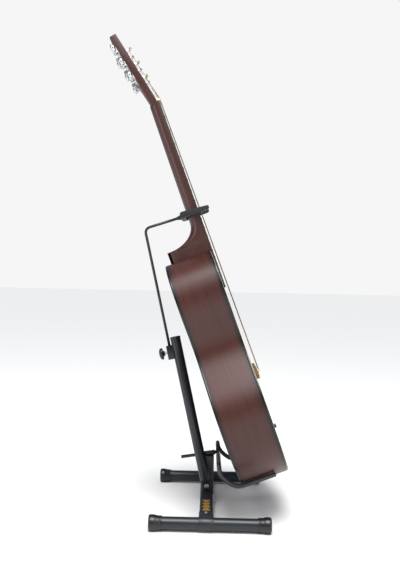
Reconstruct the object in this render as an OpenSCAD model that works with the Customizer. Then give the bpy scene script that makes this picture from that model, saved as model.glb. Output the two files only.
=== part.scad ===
// Steel-string acoustic guitar resting on an H-base floor stand.
// Millimetres, +Z up. The guitar faces +X and its bass side faces -Y.
// The origin is on the floor, under the middle of the whole object's box.

/* [Guitar body] */
// Length of the body, tail to neck joint
body_len = 505; // [495:1:515]
// Width across the lower bout
lower_bout = 390; // [380:1:400]
// Width across the waist
waist = 248; // [235:1:260]
// Width across the upper bout
upper_bout = 288; // [275:1:300]
// Depth of the body, soundboard face to back face
body_depth = 102; // [98:1:106]
// Thickness of the soundboard and of the back
plate_t = 2.6; // [2.2:0.1:3.2]
// Thickness of the bent sides
side_t = 2.4; // [2:0.1:3]
// Diameter of the soundhole
hole_d = 100; // [92:1:104]
// Lean of the guitar back from upright, in degrees
guitar_lean = 20.8; // [20.6:0.1:21]

/* [Neck and head] */
// Scale length, nut to saddle
scale_len = 628; // [624:1:632]
// Number of frets
fret_count = 20; // [18:1:20]
// Width of the fretboard at the nut
nut_w = 44; // [42:0.5:46]
// Width of the fretboard at the body joint
joint_w = 56; // [54:0.5:57]
// Thickness of the neck under the fretboard
neck_t = 21; // [20:0.5:22]
// Thickness of the fretboard
board_t = 6; // [5:0.5:7]
// Length of the head
head_len = 166; // [160:1:172]
// Width of the head at its top
head_w = 74; // [70:1:78]
// Thickness of the head
head_t = 15.5; // [14:0.5:17]
// Backward angle of the head, in degrees
head_angle = 12.5; // [11:0.5:14]
// Spacing of the tuners along the head
tuner_pitch = 34; // [33:1:36]

/* [Stand base] */
// Length of each foot, over its rubber caps
foot_len = 243; // [230:1:260]
// Distance between the two foot tubes
foot_gap = 340; // [320:1:360]
// Diameter of the foot tubes
foot_d = 25; // [24:0.5:26]
// Diameter of the rubber caps
cap_d = 32; // [31:0.5:34]
// Width of the crossbar
bar_w = 27; // [25:1:30]
// Height of the crossbar
bar_h = 15; // [12:1:16]

/* [Post and neck rest] */
// Diameter of the post tube
post_d = 22; // [20:0.5:22]
// Length of the post above its bolt
post_len = 334; // [325:1:345]
// Lean of the post back from upright, in degrees
post_lean = 13.1; // [12.9:0.1:13.3]
// Diameter of the neck rest rod
rod_d = 6; // [5.5:0.1:6.2]
// Rise of the neck rest arm, in degrees
arm_rise = 18.4; // [18:0.1:18.8]
// Gap between the prongs of the neck fork
fork_gap = 57; // [57:0.5:60]

/* [Cradle] */
// Distance from the middle to each cradle arm
arm_y = 112; // [105:1:118]
// Diameter of the cradle rod
cradle_d = 6.5; // [6:0.5:7]
// Diameter over the rubber sleeves
sleeve_d = 9.5; // [9:0.5:10]
// Forward rise of the tongue, in degrees
tongue_rise = 9.3; // [8.5:0.1:10]

/* [Hidden] */
$fn = 48;
round_fn = 64;
// flats round a bent bar, the easing of its corners, and the points on each curve of the outline
bar_sides = 16;
ease = 13;
steps = 12;

// running clearance between a turning shaft and its bore, measured on the radius
run_fit = 0.05;

// guitar frame: x out of the soundboard, y to the treble side, z up the neck from the tail
tail_x = 175.9;
tail_z = 88.9;
nut_u = body_len + scale_len * (1 - pow(2, -14 / 12));
saddle_u = nut_u - scale_len;
board_end_u = nut_u - scale_len * (1 - pow(2, -fret_count / 12)) - 4;
hole_u = board_end_u - hole_d / 2 - 2;
binding_h = 4.5;
binding_t = 2.2;
lining_t = 6;
lining_h = 14;
block_len = 60;
brace_w = 8;
brace_h = 12;
nut_t = 5;
nut_h = 8;
bridge_h = 9;
saddle_top = 12.6;
pin_u = saddle_u - 10;
heel_back = 88;
heel_len = 27;
knob_u = 72;
knob_y = 95;
pin_head_d = 13;
truss_x = -6;
truss_d = 6;

// strings: diameter, and spacing at the saddle and at the nut
gauges = [1.35, 1.1, 0.85, 0.65, 0.45, 0.35];
string_sides = 8;
saddle_pitch = 10.8;
nut_pitch = 7;

// head frame: x out of the head's face, z up the head from the nut
first_tuner = 53;
post_y = 24;
post_flare = 1.5;
tuner_post_d = 6;
tuner_post_h = 13;
gear_d = 13;
gear_t = 3.5;
worm_d = 5.4;
shaft_d = 4;
shaft_lift = 7.5;
worm_offset = 10;
plate_sheet = 1.2;
button_d = 17;
button_t = 8;
button_y = 58;

// stand frame: crossbar centred on x = 0, floor at z = 0
rest_flat = 0.6;
foot_z = cap_d / 2 - rest_flat;
foot_x = 7.6;
cap_len = 27;
bar_top = foot_z + foot_d / 2 + 1.6;
sheet_t = 1.6;
saddle_w = 29;
pivot_z = bar_top + sheet_t + 11.5;
bolt_d = 6;
tab_t = 4;
post_y_pos = -post_d / 2 - 0.5;
post_wall = 1.5;
upright_w = 24;
upright_y = [0, 22];
upright_x = -9;
rod_back = post_d / 2 + rod_d / 2 + 3;
clamp_at = 305;
clamp_h = 30;
rod_end = clamp_at - 12;
corner_at = 585;
web_front = 95;
web_t = 11;
prong_t = 12;
fork_tip = 146;
fork_h = 18;
arm_u = 24;

// cradle: cross rod behind the body, then an elbow down and under the tail
cross_x = 24;
cross_z = 115;
tongue_y = 11;
tongue_d = 7;
tongue_len = 83;
socket_d = 11;
function body_xz(v, u) = [tail_x + v * cos(guitar_lean) - u * sin(guitar_lean),
                          tail_z + v * sin(guitar_lean) + u * cos(guitar_lean)];
arm_low = body_xz(-body_depth - 9, arm_u);
arm_tip = body_xz(-30, arm_u);
arm_path = [[cross_x, cross_z], [cross_x + 3, 98], [cross_x + 17, 83], arm_low, arm_tip];

// the whole object is moved so that the middle of its box lies over the origin
head_back = body_xz(0, nut_u + nut_t)[0]
    - head_len * sin(guitar_lean + head_angle) - head_t * cos(guitar_lean + head_angle);
shift_x = -(head_back + tail_x + 2) / 2;

tuner_names = [for (i = [1:6]) str("tuner_post_", i)];
button_names = [for (i = [1:6]) str("tuner_button_", i)];

// ---- frames and small shapes ----
module placed() {
    translate([shift_x, 0, 0]) children();
}
module guitar_at() {
    placed() translate([tail_x, 0, tail_z]) rotate([0, -guitar_lean, 0]) children();
}
module head_at() {
    guitar_at() translate([0, 0, nut_u + nut_t]) rotate([0, -head_angle, 0]) children();
}
// post frame: z up the post from its bolt, x forward
module post_at() {
    placed() translate([0, 0, pivot_z]) rotate([0, -post_lean, 0]) children();
}
// arm frame: x along the neck rest arm from the rod's corner
module arm_at() {
    post_at() translate([-rod_back, 0, corner_at]) rotate([0, post_lean - arm_rise, 0]) children();
}
// a flat outline, drawn across and up, given a thickness from x0 to x1
module slab(x0, x1) {
    translate([x0, 0, 0]) rotate([90, 0, 90]) linear_extrude(x1 - x0) children();
}
// a side profile, drawn forward and up, given a width
module profile(width) {
    rotate([90, 0, 0]) linear_extrude(width, center = true) children();
}
// a bar along a list of points, with its corners eased, as rings of points and the skin over them
function unit(v) = v / norm(v);
function rounded(points) = let (last = len(points) - 1) concat([points[0]],
    [for (i = [1:last - 1]) let (
        a = points[i] + min(ease, norm(points[i - 1] - points[i]) / 2) * unit(points[i - 1] - points[i]),
        b = points[i] + min(ease, norm(points[i + 1] - points[i]) / 2) * unit(points[i + 1] - points[i]))
        for (t = [0.1:0.2:0.9]) pow(1 - t, 2) * a + 2 * t * (1 - t) * points[i] + t * t * b],
    [points[last]]);
function ring_at(p, along, r, side = [1, 0, 1]) = let (x = unit(cross(along, side)), y = unit(cross(along, x)))
    [for (k = [0:bar_sides - 1]) p + r * (cos(k * 360 / bar_sides) * x + sin(k * 360 / bar_sides) * y)];
function bar_rings(points, r, side = [1, 0, 1]) = let (last = len(points) - 1)
    [for (i = [0:last]) ring_at(points[i], points[min(i + 1, last)] - points[max(i - 1, 0)], r, side)];
module swept(rings) {
    n = len(rings[0]);
    last = len(rings) - 1;
    polyhedron(
        points = [for (ring = rings) for (p = ring) p],
        faces = concat(
            [[for (k = [0:n - 1]) k]],
            [for (i = [0:last - 1]) for (k = [0:n - 1]) let (a = i * n + k, b = i * n + (k + 1) % n)
                [a, a + n, b + n, b]],
            [[for (k = [n - 1:-1:0]) last * n + k]]));
}

// ---- body outline ----
function bez(c, t) = pow(1 - t, 3) * c[0] + 3 * t * pow(1 - t, 2) * c[1]
    + 3 * t * t * (1 - t) * c[2] + pow(t, 3) * c[3];
// tail to lower bout, to waist, to upper bout, to neck joint, all moved in by i
function curves(i) = let (a = lower_bout / 2 - i, b = waist / 2 - i, c = upper_bout / 2 - i,
                          l = body_len, top = body_len - i, j = joint_w / 2) [
    [[0, i], [0.49 * a, i], [a, 0.125 * l], [a, 0.33 * l]],
    [[a, 0.33 * l], [a, 0.465 * l], [b, 0.52 * l], [b, 0.63 * l]],
    [[b, 0.63 * l], [b, 0.71 * l], [c, 0.735 * l], [c, 0.82 * l]],
    [[c, 0.82 * l], [c, 0.93 * l], [0.66 * c, top], [j, top]]];
function half_outline(i) = concat([for (c = curves(i)) for (k = [0:steps - 1]) bez(c, k / steps)],
                                  [[joint_w / 2, body_len - i]]);
function outline(i) = let (h = half_outline(i))
    concat(h, [for (k = [len(h) - 1:-1:1]) [-h[k][0], h[k][1]]]);
module ring(outer, inner) {
    difference() {
        polygon(outline(outer));
        polygon(outline(inner));
    }
}

// ---- guitar body ----
module pin_places() {
    for (i = [0:5]) translate([0, (i - 2.5) * saddle_pitch, pin_u]) rotate([0, 90, 0]) children();
}
module soundboard() {
    color("burlywood") guitar_at() difference() {
        slab(-plate_t, 0) polygon(outline(binding_t));
        translate([-5, 0, hole_u]) rotate([0, 90, 0]) cylinder(h = 10, d = hole_d, $fn = round_fn);
        translate([-1, 0, hole_u]) rotate([0, 90, 0]) difference() {
            cylinder(h = 2, d = hole_d + 30, $fn = round_fn);
            translate([0, 0, -1]) cylinder(h = 4, d = hole_d + 12, $fn = round_fn);
        }
        pin_places() translate([0, 0, -5]) cylinder(h = 10, d = 5.1);
        translate([-5, knob_y, knob_u]) rotate([0, 90, 0]) cylinder(h = 10, d = 6 + 2 * run_fit);
    }
}
module sides() {
    color("saddlebrown") guitar_at() difference() {
        slab(-body_depth + binding_h, -binding_h) ring(0, side_t);
        translate([-body_depth / 2, 0, -5]) cylinder(h = 12, d = 7.1);
    }
}
module back() {
    color("saddlebrown") guitar_at() slab(-body_depth, -body_depth + plate_t) polygon(outline(binding_t));
}
module top_binding() {
    color("black") guitar_at() slab(-binding_h, 0) ring(0, binding_t);
}
module back_binding() {
    color("black") guitar_at() slab(-body_depth, -body_depth + binding_h) ring(0, binding_t);
}
module linings() {
    color("tan") guitar_at() difference() {
        union() {
            slab(-plate_t - lining_h, -plate_t) ring(side_t, side_t + lining_t);
            slab(-body_depth + plate_t, -body_depth + plate_t + lining_h) ring(side_t, side_t + lining_t);
        }
        translate([-body_depth, -36, body_len - block_len - 3]) cube([body_depth, 72, block_len + 10]);
        translate([-body_depth, -40, 0]) cube([body_depth, 80, 28]);
    }
}
module neck_block() {
    color("sienna") guitar_at() slab(-body_depth + plate_t, -plate_t) intersection() {
        polygon(outline(side_t));
        translate([-36, body_len - block_len - side_t]) square([72, block_len + 10]);
    }
}
module tail_block() {
    color("sienna") guitar_at() difference() {
        slab(-body_depth + plate_t, -plate_t) intersection() {
            polygon(outline(side_t));
            translate([-40, 0]) square([80, 28]);
        }
        translate([-body_depth / 2, 0, -5]) cylinder(h = 40, d = 7.1);
    }
}
module brace_bar(y, u, angle, length) {
    translate([y, u]) rotate(angle) translate([-length / 2, -brace_w / 2]) square([length, brace_w]);
}
module top_braces() {
    color("wheat") guitar_at() slab(-plate_t - brace_h, -plate_t) intersection() {
        polygon(outline(side_t + lining_t + 1));
        union() {
            brace_bar(0, hole_u - 78, 50, 420);
            brace_bar(0, hole_u - 78, -50, 420);
            brace_bar(0, hole_u + 64, 0, 400);
            brace_bar(-30, 80, -25, 170);
        }
    }
}
module back_braces() {
    color("wheat") guitar_at() slab(-body_depth + plate_t, -body_depth + plate_t + brace_h) intersection() {
        polygon(outline(side_t + lining_t + 1));
        for (k = [0.2, 0.4, 0.6, 0.78]) brace_bar(0, k * body_len, 0, 400);
    }
}
module rosette() {
    color("darkslategray") guitar_at() translate([-1, 0, hole_u]) rotate([0, 90, 0]) difference() {
        cylinder(h = 1, d = hole_d + 30, $fn = round_fn);
        translate([0, 0, -1]) cylinder(h = 3, d = hole_d + 12, $fn = round_fn);
    }
}
module pickguard() {
    color("black") guitar_at() slab(0, 1.2) difference() {
        translate([60, hole_u - 52]) circle(r = 46, $fn = round_fn);
        translate([0, hole_u]) circle(d = hole_d + 34, $fn = round_fn);
    }
}
module bridge() {
    color("#2b1c14") guitar_at() difference() {
        slab(0, bridge_h) intersection() {
            translate([-78, saddle_u - 19]) square([156, 30]);
            translate([0, saddle_u + 260]) circle(r = 279, $fn = 360);
            translate([0, saddle_u - 340]) circle(r = 352, $fn = 360);
        }
        translate([4, -37, saddle_u - 1.5]) cube([10, 74, 3]);
        pin_places() translate([0, 0, -1]) cylinder(h = 20, d = 5.1);
    }
}
module bridge_saddle() {
    color("ivory") guitar_at() translate([4, -36.9, saddle_u - 1.4]) cube([saddle_top - 4, 73.8, 2.8]);
}
module bridge_pins() {
    color("ivory") guitar_at() pin_places() {
        translate([0, 0, -8]) cylinder(h = 8 + bridge_h, d = 5);
        translate([0, 0, bridge_h]) cylinder(h = 1.2, d = 7.5);
        translate([0, 0, bridge_h + 1.2]) cylinder(h = 1.2, d1 = 7.5, d2 = 5);
    }
}
module end_pin() {
    color("black") guitar_at() translate([-body_depth / 2, 0, 0]) {
        cylinder(h = 24, d = 7);
        translate([0, 0, -3]) cylinder(h = 3, d = pin_head_d);
        translate([0, 0, -8]) cylinder(h = 5, d = 7);
        translate([0, 0, -11]) cylinder(h = 3, d = pin_head_d);
    }
}
module volume_knob() {
    color("black") guitar_at() translate([0, knob_y, knob_u]) rotate([0, 90, 0]) {
        translate([0, 0, -14]) cylinder(h = 16, d = 6);
        translate([0, 0, 0.6]) cylinder(h = 10.4, d = 10);
    }
}

// ---- neck and head ----
function board_w(u) = nut_w + (joint_w - nut_w) * (nut_u - u) / (nut_u - body_len);
module taper(u0, u1) {
    polygon([[-board_w(u0) / 2, u0], [board_w(u0) / 2, u0], [board_w(u1) / 2, u1], [-board_w(u1) / 2, u1]]);
}
module head_outline() {
    polygon([[-nut_w / 2, -2], [nut_w / 2, -2], [nut_w / 2, 6], [head_w / 2 - 4, 33],
             [head_w / 2, head_len - 6], [16, head_len], [0, head_len - 3], [-16, head_len],
             [-head_w / 2, head_len - 6], [-head_w / 2 + 4, 33], [-nut_w / 2, 6]]);
}
// the heel sweeps from the back of the neck down to its cap in one quarter ellipse
module heel_profile() {
    rise = 46;
    drop = heel_back - neck_t;
    polygon(concat([[0, body_len], [-heel_back, body_len], [-heel_back, body_len + heel_len]],
                   [for (a = [10:10:90]) [-heel_back + drop * sin(a),
                                          body_len + heel_len + rise * (1 - cos(a))]],
                   [[0, body_len + heel_len + rise]]));
}
module neck() {
    color("saddlebrown") difference() {
        union() {
            guitar_at() intersection() {
                slab(-neck_t, 0) taper(body_len, nut_u + nut_t);
                translate([33 - neck_t, 0, body_len]) cylinder(h = nut_u + nut_t - body_len, r = 33);
            }
            guitar_at() intersection() {
                profile(joint_w) heel_profile();
                translate([0, 0, body_len]) linear_extrude(100) polygon([
                    [-heel_back, -15], [-heel_back, 15], [-neck_t - 20, 22], [-6, 26], [-6, -26],
                    [-neck_t - 20, -22]]);
            }
            head_at() slab(-head_t, 0) head_outline();
        }
        guitar_at() translate([truss_x, 0, body_len + 6])
            cylinder(h = nut_u + nut_t - body_len + 4, d = truss_d + 0.1);
        guitar_at() translate([truss_x - 4, -4, nut_u + nut_t]) cube([12, 8, 20]);
        guitar_at() translate([0, -nut_w, nut_u]) cube([nut_h, 2 * nut_w, nut_t]);
        tuner_spots() rotate([0, 90, 0]) translate([0, 0, -30]) cylinder(h = 40, d = 9);
    }
}
module heel_cap() {
    color("black") guitar_at() translate([-heel_back - 2, -15, body_len]) cube([2, 30, heel_len]);
}
module fretboard() {
    color("#1d1512") guitar_at() difference() {
        slab(0, board_t) taper(board_end_u, nut_u);
        dot_places() cylinder(h = 2, d = 6.1);
    }
}
function fret_u(n) = nut_u - scale_len * (1 - pow(2, -n / 12));
module dot_places() {
    for (n = [3, 5, 7, 9, 15, 17]) translate([board_t - 0.8, 0, (fret_u(n) + fret_u(n - 1)) / 2])
        rotate([0, 90, 0]) children();
    for (y = [-12, 12]) translate([board_t - 0.8, y, (fret_u(12) + fret_u(11)) / 2])
        rotate([0, 90, 0]) children();
}
module fret_dots() {
    color("white") guitar_at() dot_places() cylinder(h = 0.8, d = 6);
}
module frets() {
    color("silver") guitar_at() for (n = [1:fret_count])
        translate([board_t, -board_w(fret_u(n)) / 2 + 0.5, fret_u(n) - 1]) cube([1, board_w(fret_u(n)) - 1, 2]);
}
module nut() {
    color("ivory") guitar_at() translate([0, -nut_w / 2, nut_u]) cube([nut_h, nut_w, nut_t]);
}
module truss_rod() {
    color("silver") guitar_at() translate([truss_x, 0, body_len + 6])
        cylinder(h = nut_u + nut_t - body_len, d = truss_d);
}
module truss_cover() {
    color("black") head_at() slab(0, 1.6) polygon([[-11, 8], [11, 8], [4, 36], [-4, 36]]);
}

// ---- tuners: 1 to 3 on the bass side from the nut up, 4 to 6 on the treble side ----
function side_of(i) = i < 3 ? -1 : 1;
function tuner_y(i) = side_of(i) * (post_y + post_flare * (i % 3));
function tuner_u(i) = first_tuner + tuner_pitch * (i % 3);
module tuner_spot(i) {
    head_at() translate([0, tuner_y(i), tuner_u(i)]) children();
}
module tuner_spots() {
    for (i = [0:5]) tuner_spot(i) children();
}
// sheet plate with two lugs that carry the worm shaft, and the bushing in the head
module tuner_plate(i) {
    tuner_spot(i) {
        difference() {
            union() {
                translate([-head_t - plate_sheet, -9, -8]) cube([plate_sheet, 18, 24]);
                for (y = [-7.5, 5]) translate([-head_t - plate_sheet - 9.5, y, worm_offset - 4])
                    cube([9.5, 2.5, 8]);
            }
            rotate([0, 90, 0]) translate([0, 0, -30]) cylinder(h = 40, d = tuner_post_d + 2 * run_fit);
            translate([-head_t - shaft_lift, 0, worm_offset]) rotate([90, 0, 0])
                cylinder(h = 40, d = shaft_d + 2 * run_fit, center = true);
        }
        rotate([0, 90, 0]) difference() {
            union() {
                translate([0, 0, -head_t]) cylinder(h = head_t, d = 9);
                cylinder(h = 1.5, d = 13);
            }
            translate([0, 0, -30]) cylinder(h = 40, d = tuner_post_d + 2 * run_fit);
        }
    }
}
module tuner_plates() {
    color("silver") for (i = [0:5]) tuner_plate(i);
}
module tuner_post(i) {
    color("silver") tuner_spot(i) rotate([0, 90, 0]) {
        translate([0, 0, -head_t - plate_sheet - gear_t - 0.3])
            cylinder(h = head_t + plate_sheet + gear_t + tuner_post_h, d = tuner_post_d);
        translate([0, 0, -head_t - plate_sheet - gear_t - 0.3]) cylinder(h = gear_t, d = gear_d);
    }
}
module tuner_button(i) {
    side = side_of(i);
    reach = button_y - abs(tuner_y(i));
    color("silver") tuner_spot(i) translate([-head_t - shaft_lift, 0, worm_offset]) {
        rotate([-90 * side, 0, 0]) {
            translate([0, 0, -7.5]) cylinder(h = reach - button_d / 2 + 8.5, d = shaft_d);
            translate([0, 0, -4.8]) cylinder(h = 9.6, d = worm_d);
        }
        translate([0, side * reach, 0]) rotate([0, 90, 0]) cylinder(h = button_t, d = button_d, center = true);
    }
}

// ---- strings ----
// saddle and pin heights, nut slot and the side of each tuner post
string_tuner = [0, 1, 2, 5, 4, 3];
function head_xyz(x, y, z) = [x * cos(head_angle) - z * sin(head_angle), y,
                              nut_u + nut_t + x * sin(head_angle) + z * cos(head_angle)];
module string(i) {
    g = gauges[i];
    y_saddle = (i - 2.5) * saddle_pitch;
    y_nut = (i - 2.5) * nut_pitch;
    t = string_tuner[i];
    stop = tuner_post_d / 2 + g / 2 + 0.3;
    route = [[bridge_h + 0.6, y_saddle, pin_u + 4.2], [saddle_top + g / 2 + 0.05, y_saddle, saddle_u - 1.6],
             [nut_h + g / 2, y_nut, nut_u + nut_t],
             head_xyz(7, tuner_y(t) - side_of(t) * stop, tuner_u(t))];
    swept([for (p = route) [for (k = [string_sides - 1:-1:0])
        p + g / 2 * [cos(k * 360 / string_sides), sin(k * 360 / string_sides), 0]]]);
}
module strings() {
    color("silver") guitar_at() for (i = [0:5]) string(i);
}

// ---- stand base ----
module foot_tube(y) {
    color("#2a2c30") placed() translate([foot_x, y, foot_z]) rotate([0, 90, 0]) difference() {
        cylinder(h = foot_len - 4, d = foot_d, center = true);
        cylinder(h = foot_len, d = foot_d - 3, center = true);
    }
}
// rubber cap, a sleeve that flares towards its closed end, with a flat pad under it
module foot_cap(end, y) {
    r = cap_d / 2;
    color("#151515") placed() intersection() {
        translate([foot_x + end * (foot_len / 2 - cap_len), y, foot_z]) rotate([0, 90 * end, 0])
            rotate_extrude($fn = round_fn) difference() {
                polygon([[0, 0], [r - 2.2, 0], [r - 1.8, 3], [r - 1.8, 10], [r, 18], [r, cap_len - 3],
                         [r - 0.9, cap_len - 0.9], [r - 3, cap_len], [0, cap_len]]);
                translate([0, -1]) square([foot_d / 2, cap_len - 1]);
            }
        translate([-500, y - 50, 0]) cube([1000, 100, 100]);
    }
}
module crossbar() {
    length = foot_gap - foot_d;
    color("#17181a") placed() translate([-bar_w / 2, -length / 2, bar_top - bar_h]) difference() {
        cube([bar_w, length, bar_h]);
        translate([sheet_t, -1, sheet_t]) cube([bar_w - 2 * sheet_t, length + 2, bar_h - 2 * sheet_t]);
        for (y = [-1, 1]) translate([bar_w / 2, length / 2 + y * (length / 2 - 9), 0])
            cylinder(h = 40, d = 4.9);
    }
}
// pressed bracket that wraps over the foot tube and laps the end of the crossbar
module tube_saddle(side) {
    inner = foot_d / 2;
    placed() difference() {
        union() {
            translate([-saddle_w / 2, side * foot_gap / 2, foot_z]) rotate([0, 90, 0])
                cylinder(h = saddle_w, r = inner + sheet_t);
            translate([-saddle_w / 2, side * (foot_gap / 2 - 12) - 14, bar_top - 0.1])
                cube([saddle_w, 28, sheet_t + 0.1]);
        }
        translate([-saddle_w, side * foot_gap / 2, foot_z]) rotate([0, 90, 0])
            cylinder(h = 2 * saddle_w, r = inner);
        translate([-saddle_w, side * foot_gap / 2 - 30, -1]) cube([2 * saddle_w, 60, 7]);
        translate([-saddle_w, side * (foot_gap / 2 - 20) - 20, -1]) cube([2 * saddle_w, 40, bar_top + 1]);
        translate([0, side * (foot_gap / 2 - foot_d / 2 - 9), 0]) cylinder(h = 60, d = 4.9);
    }
}
module tube_saddles() {
    color("#202226") for (side = [-1, 1]) tube_saddle(side);
}
module saddle_screws() {
    color("silver") placed() for (side = [-1, 1])
        translate([0, side * (foot_gap / 2 - foot_d / 2 - 9), bar_top - bar_h + 3]) {
            cylinder(h = bar_h + sheet_t - 3, d = 4.8);
            translate([0, 0, bar_h + sheet_t - 3]) cylinder(h = 2, d1 = 9, d2 = 7);
        }
}
// square tube on a base plate, with the tongue's socket across its top
module upright() {
    width = upright_y[1] - upright_y[0];
    top = cross_z - 8;
    color("#17181a") placed() difference() {
        union() {
            translate([upright_x, upright_y[0], bar_top]) cube([upright_w, width, top - bar_top]);
            translate([upright_x, -19, bar_top]) cube([upright_w, 19 + width, sheet_t]);
            tongue_line() translate([0, 0, -cross_x - 11]) cylinder(h = upright_w + 4, d = socket_d);
        }
        translate([upright_x + 2, upright_y[0] + 2, bar_top + sheet_t])
            cube([upright_w - 4, width - 4, top - bar_top - sheet_t - 6]);
        tongue_line() translate([0, 0, -120]) cylinder(h = 200, d = tongue_d + 2 * run_fit);
        translate([0, -1, pivot_z]) rotate([-90, 0, 0]) cylinder(h = 40, d = bolt_d);
    }
}
module tongue_line() {
    translate([cross_x, tongue_y, cross_z]) rotate([0, 90 - tongue_rise, 0]) children();
}
module post_bolt() {
    color("silver") placed() translate([0, 0, pivot_z]) rotate([-90, 0, 0]) {
        translate([0, 0, -tab_t - 0.8]) cylinder(h = upright_y[1] + tab_t + 4, d = bolt_d);
        translate([0, 0, -tab_t - 4.3]) cylinder(h = 3.5, d = 11, $fn = 6);
        translate([0, 0, upright_y[1]]) cylinder(h = 4.2, d = 11.5, $fn = 6);
    }
}

// ---- post and neck rest ----
module post_tube() {
    color("#1d1f24") post_at() difference() {
        union() {
            translate([0, post_y_pos, 17]) cylinder(h = post_len - 17, d = post_d);
            translate([0, -tab_t - 0.4, 0]) rotate([-90, 0, 0]) cylinder(h = tab_t, d = 19);
            translate([-9.5, -tab_t - 0.4, 0]) cube([19, tab_t, 26]);
        }
        translate([0, post_y_pos, 30]) cylinder(h = post_len, d = post_d - 2 * post_wall);
        rotate([-90, 0, 0]) cylinder(h = 60, d = bolt_d + 2 * run_fit, center = true);
    }
}
module post_cap() {
    color("#101010") post_at() translate([0, post_y_pos, post_len]) {
        rotate_extrude() polygon([[0, 0], [post_d / 2 + 0.8, 0], [post_d / 2 + 0.8, 2.2],
                                  [post_d / 2 - 0.4, 3.6], [0, 4]]);
        translate([0, 0, -12]) cylinder(h = 12, d = post_d - 2 * post_wall);
    }
}
module clamp_block() {
    color("#151515") post_at() difference() {
        translate([-rod_back - rod_d / 2 - 4, -13, clamp_at - clamp_h / 2])
            cube([rod_back + rod_d / 2 + 4 - 2, 20, clamp_h]);
        translate([0, post_y_pos, 0]) cylinder(h = 400, d = post_d);
        translate([-rod_back, 0, 0]) cylinder(h = 400, d = rod_d + 2 * run_fit);
        translate([-rod_back, 0, clamp_at]) rotate([0, -90, 0]) cylinder(h = 40, d = 5 + 2 * run_fit);
    }
}
module clamp_screw() {
    color("silver") post_at() translate([-rod_back - rod_d / 2 - 0.3, 0, clamp_at])
        rotate([0, -90, 0]) cylinder(h = 15.6, d = 5);
}
// mushroom knob, hollowed behind its rim
module clamp_knob() {
    color("#111111") post_at() translate([-rod_back - rod_d / 2 - 10, 0, clamp_at]) rotate([0, -90, 0])
        rotate_extrude() polygon([[2.5, 0], [5, 0], [5.5, 3], [12.5, 4.5], [13, 8], [11, 10.5],
                                  [6, 12.5], [0, 13], [0, 6], [2.5, 6]]);
}
module neck_rest_rod() {
    reach = web_front - web_t / 2;
    rise = arm_rise - post_lean;
    color("#1c1e22") post_at() swept(bar_rings(rounded([
        [-rod_back, 0, rod_end], [-rod_back, 0, corner_at],
        [-rod_back + reach * cos(rise), 0, corner_at + reach * sin(rise)]]), rod_d / 2, [0, 1, 0]));
}
// rubber fork: a tapered boss round the rod, a web behind the neck and two prongs beside it
module neck_fork() {
    half = fork_gap / 2;
    back_x = web_front - web_t;
    color("#141414") arm_at() difference() {
        union() {
            intersection() {
                profile(2 * half + 2 * prong_t) polygon([
                    [back_x, -fork_h / 2 + 3], [back_x + 4, -fork_h / 2], [web_front + 6, -fork_h / 2],
                    [fork_tip, -5], [fork_tip + 3, -2], [fork_tip + 3, 4], [fork_tip, 6],
                    [web_front + 6, fork_h / 2], [back_x + 4, fork_h / 2], [back_x, fork_h / 2 - 3]]);
                translate([0, 0, -50]) linear_extrude(100) difference() {
                    translate([back_x, -half - prong_t]) square([fork_tip + 6 - back_x, 2 * (half + prong_t)]);
                    translate([web_front, -half]) square([200, 2 * half]);
                }
            }
            translate([back_x - 9, 0, 0]) rotate([0, 90, 0]) cylinder(h = 10, d1 = 9, d2 = 15);
        }
        rotate([0, 90, 0]) cylinder(h = web_front - web_t / 2, d = rod_d);
    }
}

// ---- cradle ----
// one round bar bent to a U in plan, with both ends dropping under the tail
function arm_points(side) = [for (p = arm_path) [p[0], side * arm_y, p[1]]];
function turned(list) = [for (i = [len(list) - 1:-1:0]) list[i]];
module cradle_frame() {
    color("#3a3c40") placed() {
        swept(bar_rings(rounded(concat(turned(arm_points(-1)), arm_points(1))), cradle_d / 2));
        tongue_line() translate([0, 0, -tongue_len]) cylinder(h = tongue_len, d = tongue_d);
    }
}
// a blind tube over half of the bar: up the inside from its closed end, then down the outside
module sleeve(side) {
    start = [cross_x, side * (tongue_y + tongue_d / 2 + 4), cross_z];
    route = rounded(concat([start], arm_points(side)));
    last = len(route) - 1;
    tip = route[last] + 2.4 * unit(route[last] - route[last - 1]);
    bore = cradle_d / 2 + 0.3;
    color("#222326") placed() swept(concat(turned(bar_rings(route, bore)), bar_rings(route, sleeve_d / 2),
                                           [ring_at(tip, tip - route[last], sleeve_d * 0.32)]));
}

crossbar();
foot_tube(-foot_gap / 2);  // foot_tube_bass
foot_tube(foot_gap / 2);  // foot_tube_treble
foot_cap(1, -foot_gap / 2);  // foot_cap_bass_front
foot_cap(-1, -foot_gap / 2);  // foot_cap_bass_rear
foot_cap(1, foot_gap / 2);  // foot_cap_treble_front
foot_cap(-1, foot_gap / 2);  // foot_cap_treble_rear
tube_saddles();
saddle_screws();
upright();
post_bolt();
post_tube();
post_cap();
clamp_block();
clamp_screw();
clamp_knob();
neck_rest_rod();
neck_fork();
cradle_frame();
sleeve(-1);  // sleeve_bass
sleeve(1);  // sleeve_treble
soundboard();
sides();
back();
top_binding();
back_binding();
linings();
neck_block();
tail_block();
top_braces();
back_braces();
rosette();
pickguard();
bridge();
bridge_saddle();
bridge_pins();
neck();
heel_cap();
fretboard();
frets();
fret_dots();
nut();
truss_rod();
truss_cover();
strings();
end_pin();
volume_knob();
tuner_plates();
for (i = [0:5]) {
    tuner_post(i);
    tuner_button(i);
}
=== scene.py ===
import math

import bpy
import bmesh
from mathutils import Matrix, Vector


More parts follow.
